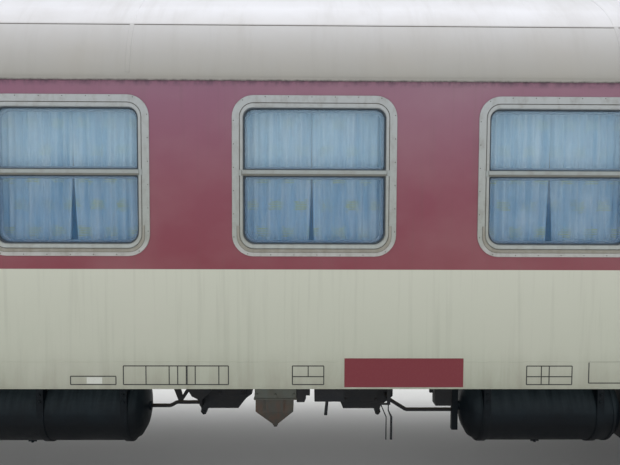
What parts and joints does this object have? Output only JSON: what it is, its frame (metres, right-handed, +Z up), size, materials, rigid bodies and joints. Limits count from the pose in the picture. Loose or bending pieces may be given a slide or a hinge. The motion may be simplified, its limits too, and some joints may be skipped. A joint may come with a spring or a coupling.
{
  "type": "passenger coach",
  "caption": "Long sleeping coach with a hollow body, folding entrance doors, gangway doors and two swivelling bogies.",
  "frame": {"origin": "middle of the coach at the level of the wheel flange tips", "axes": "+X along the coach, +Y towards the corridor side, +Z up; the compartment side faces -Y"},
  "size_m": [24.5, 2.9824, 4.0778],
  "materials": {
    "dark_red_paint": "semi-gloss, weathered",
    "roof_grey_paint": "matt, weathered",
    "underframe_black": "matt, dusty",
    "frame_aluminium": "matt anodised",
    "window_glass": "clear",
    "curtain_cloth": "woven",
    "interior_panel": "satin",
    "floor_covering": "matt",
    "bogie_steel": "painted, dusty",
    "wheel_steel": "rolled bright on the tread",
    "rubber_black": "matt",
    "bright_steel": "satin",
    "lamp_glass": "gloss"
  },
  "bodies": {
    "coach": {"air_tanks": "underframe_black", "battery_boxes": "underframe_black", "brake_gear": "underframe_black", "brake_pipes": "underframe_black", "buffers": "underframe_black", "ceiling": "interior_panel", "corridor_partition": "interior_panel", "cross_partitions": "interior_panel", "curtain_rails": "bright_steel", "curtains_compartment": "curtain_cloth", "curtains_corridor": "curtain_cloth", "door_pivots": "bright_steel", "drain_hoppers": "underframe_black", "draw_gear": "underframe_black", "end_wall_a": "dark_red_paint", "end_wall_b": "dark_red_paint", "entrance_steps": "underframe_black", "floor_pan": "floor_covering", "gangway_bellows": "rubber_black", "gangway_door_tracks": "interior_panel", "grab_rails": "bright_steel", "rain_gutters": "roof_grey_paint", "roof": "roof_grey_paint", "roof_vents": "roof_grey_paint", "side_wall_compartment": "dark_red_paint", "side_wall_corridor": "dark_red_paint", "tail_lamps": "lamp_glass", "underframe": "underframe_black", "vestibule_bulkheads": "interior_panel", "vestibule_sides": "dark_red_paint", "window_frames_compartment": "frame_aluminium", "window_frames_corridor": "frame_aluminium", "window_glass_compartment": "window_glass", "window_glass_corridor": "window_glass"},
    "bogie_a": {"bogie_a_axle_boxes": "bogie_steel", "bogie_a_bolster": "bogie_steel", "bogie_a_brakes": "bogie_steel", "bogie_a_frame": "bogie_steel", "bogie_a_spring_plank": "bogie_steel", "bogie_a_springs": "bogie_steel"},
    "wheelset_a1": {"wheelset_a1": "wheel_steel"},
    "wheelset_a2": {"wheelset_a2": "wheel_steel"},
    "door_a_compartment_near": {"door_a_compartment_near": "dark_red_paint"},
    "door_a_compartment_far": {"door_a_compartment_far": "dark_red_paint"},
    "door_a_corridor_near": {"door_a_corridor_near": "dark_red_paint"},
    "door_a_corridor_far": {"door_a_corridor_far": "dark_red_paint"},
    "gangway_door_a": {"gangway_door_a": "interior_panel"},
    "bogie_b": {"bogie_b_axle_boxes": "bogie_steel", "bogie_b_bolster": "bogie_steel", "bogie_b_brakes": "bogie_steel", "bogie_b_frame": "bogie_steel", "bogie_b_spring_plank": "bogie_steel", "bogie_b_springs": "bogie_steel"},
    "wheelset_b1": {"wheelset_b1": "wheel_steel"},
    "wheelset_b2": {"wheelset_b2": "wheel_steel"},
    "door_b_compartment_near": {"door_b_compartment_near": "dark_red_paint"},
    "door_b_compartment_far": {"door_b_compartment_far": "dark_red_paint"},
    "door_b_corridor_near": {"door_b_corridor_near": "dark_red_paint"},
    "door_b_corridor_far": {"door_b_corridor_far": "dark_red_paint"},
    "gangway_door_b": {"gangway_door_b": "interior_panel"}
  },
  "joints": [
    {"name": "bogie_a_swivel", "type": "hinge", "parent": "coach", "child": "bogie_a", "pos_m": [-8.6, 0, 1.05], "axis": [0, 0, 1], "range_deg": [-5, 5]},
    {"name": "wheelset_a1_spin", "type": "hinge", "parent": "bogie_a", "child": "wheelset_a1", "pos_m": [-9.85, 0, 0.503], "axis": [0, 1, 0], "continuous": true},
    {"name": "wheelset_a2_spin", "type": "hinge", "parent": "bogie_a", "child": "wheelset_a2", "pos_m": [-7.35, 0, 0.503], "axis": [0, 1, 0], "continuous": true},
    {"name": "door_a_compartment_near_hinge", "type": "hinge", "parent": "coach", "child": "door_a_compartment_near", "pos_m": [-11.031, -1.33032, 2.14], "axis": [0, 0, -1], "range_deg": [0, 85]},
    {"name": "door_a_compartment_far_hinge", "type": "hinge", "parent": "door_a_compartment_near", "child": "door_a_compartment_far", "pos_m": [-11.40723, -1.3682, 2.14], "axis": [0, 0, -1], "range_deg": [-170, 0]},
    {"name": "door_a_corridor_near_hinge", "type": "hinge", "parent": "coach", "child": "door_a_corridor_near", "pos_m": [-11.031, 1.33032, 2.14], "axis": [0, 0, 1], "range_deg": [0, 85]},
    {"name": "door_a_corridor_far_hinge", "type": "hinge", "parent": "door_a_corridor_near", "child": "door_a_corridor_far", "pos_m": [-11.40723, 1.3682, 2.14], "axis": [0, 0, 1], "range_deg": [-170, 0]},
    {"name": "gangway_door_a_slide", "type": "slide", "parent": "coach", "child": "gangway_door_a", "axis": [0, 1, 0], "range_m": [0, 0.76]},
    {"name": "bogie_b_swivel", "type": "hinge", "parent": "coach", "child": "bogie_b", "pos_m": [8.6, 0, 1.05], "axis": [0, 0, 1], "range_deg": [-5, 5]},
    {"name": "wheelset_b1_spin", "type": "hinge", "parent": "bogie_b", "child": "wheelset_b1", "pos_m": [7.35, 0, 0.503], "axis": [0, 1, 0], "continuous": true},
    {"name": "wheelset_b2_spin", "type": "hinge", "parent": "bogie_b", "child": "wheelset_b2", "pos_m": [9.85, 0, 0.503], "axis": [0, 1, 0], "continuous": true},
    {"name": "door_b_compartment_near_hinge", "type": "hinge", "parent": "coach", "child": "door_b_compartment_near", "pos_m": [11.031, -1.33032, 2.14], "axis": [0, 0, 1], "range_deg": [0, 85]},
    {"name": "door_b_compartment_far_hinge", "type": "hinge", "parent": "door_b_compartment_near", "child": "door_b_compartment_far", "pos_m": [11.40723, -1.3682, 2.14], "axis": [0, 0, 1], "range_deg": [-170, 0]},
    {"name": "door_b_corridor_near_hinge", "type": "hinge", "parent": "coach", "child": "door_b_corridor_near", "pos_m": [11.031, 1.33032, 2.14], "axis": [0, 0, -1], "range_deg": [0, 85]},
    {"name": "door_b_corridor_far_hinge", "type": "hinge", "parent": "door_b_corridor_near", "child": "door_b_corridor_far", "pos_m": [11.40723, 1.3682, 2.14], "axis": [0, 0, -1], "range_deg": [-170, 0]},
    {"name": "gangway_door_b_slide", "type": "slide", "parent": "coach", "child": "gangway_door_b", "axis": [0, 1, 0], "range_m": [0, 0.76]}
  ],
  "couplings": [
    {"joint": "door_a_compartment_far_hinge", "follows": "door_a_compartment_near_hinge", "ratio": -2},
    {"joint": "door_a_corridor_far_hinge", "follows": "door_a_corridor_near_hinge", "ratio": -2},
    {"joint": "door_b_compartment_far_hinge", "follows": "door_b_compartment_near_hinge", "ratio": -2},
    {"joint": "door_b_corridor_far_hinge", "follows": "door_b_corridor_near_hinge", "ratio": -2}
  ]
}
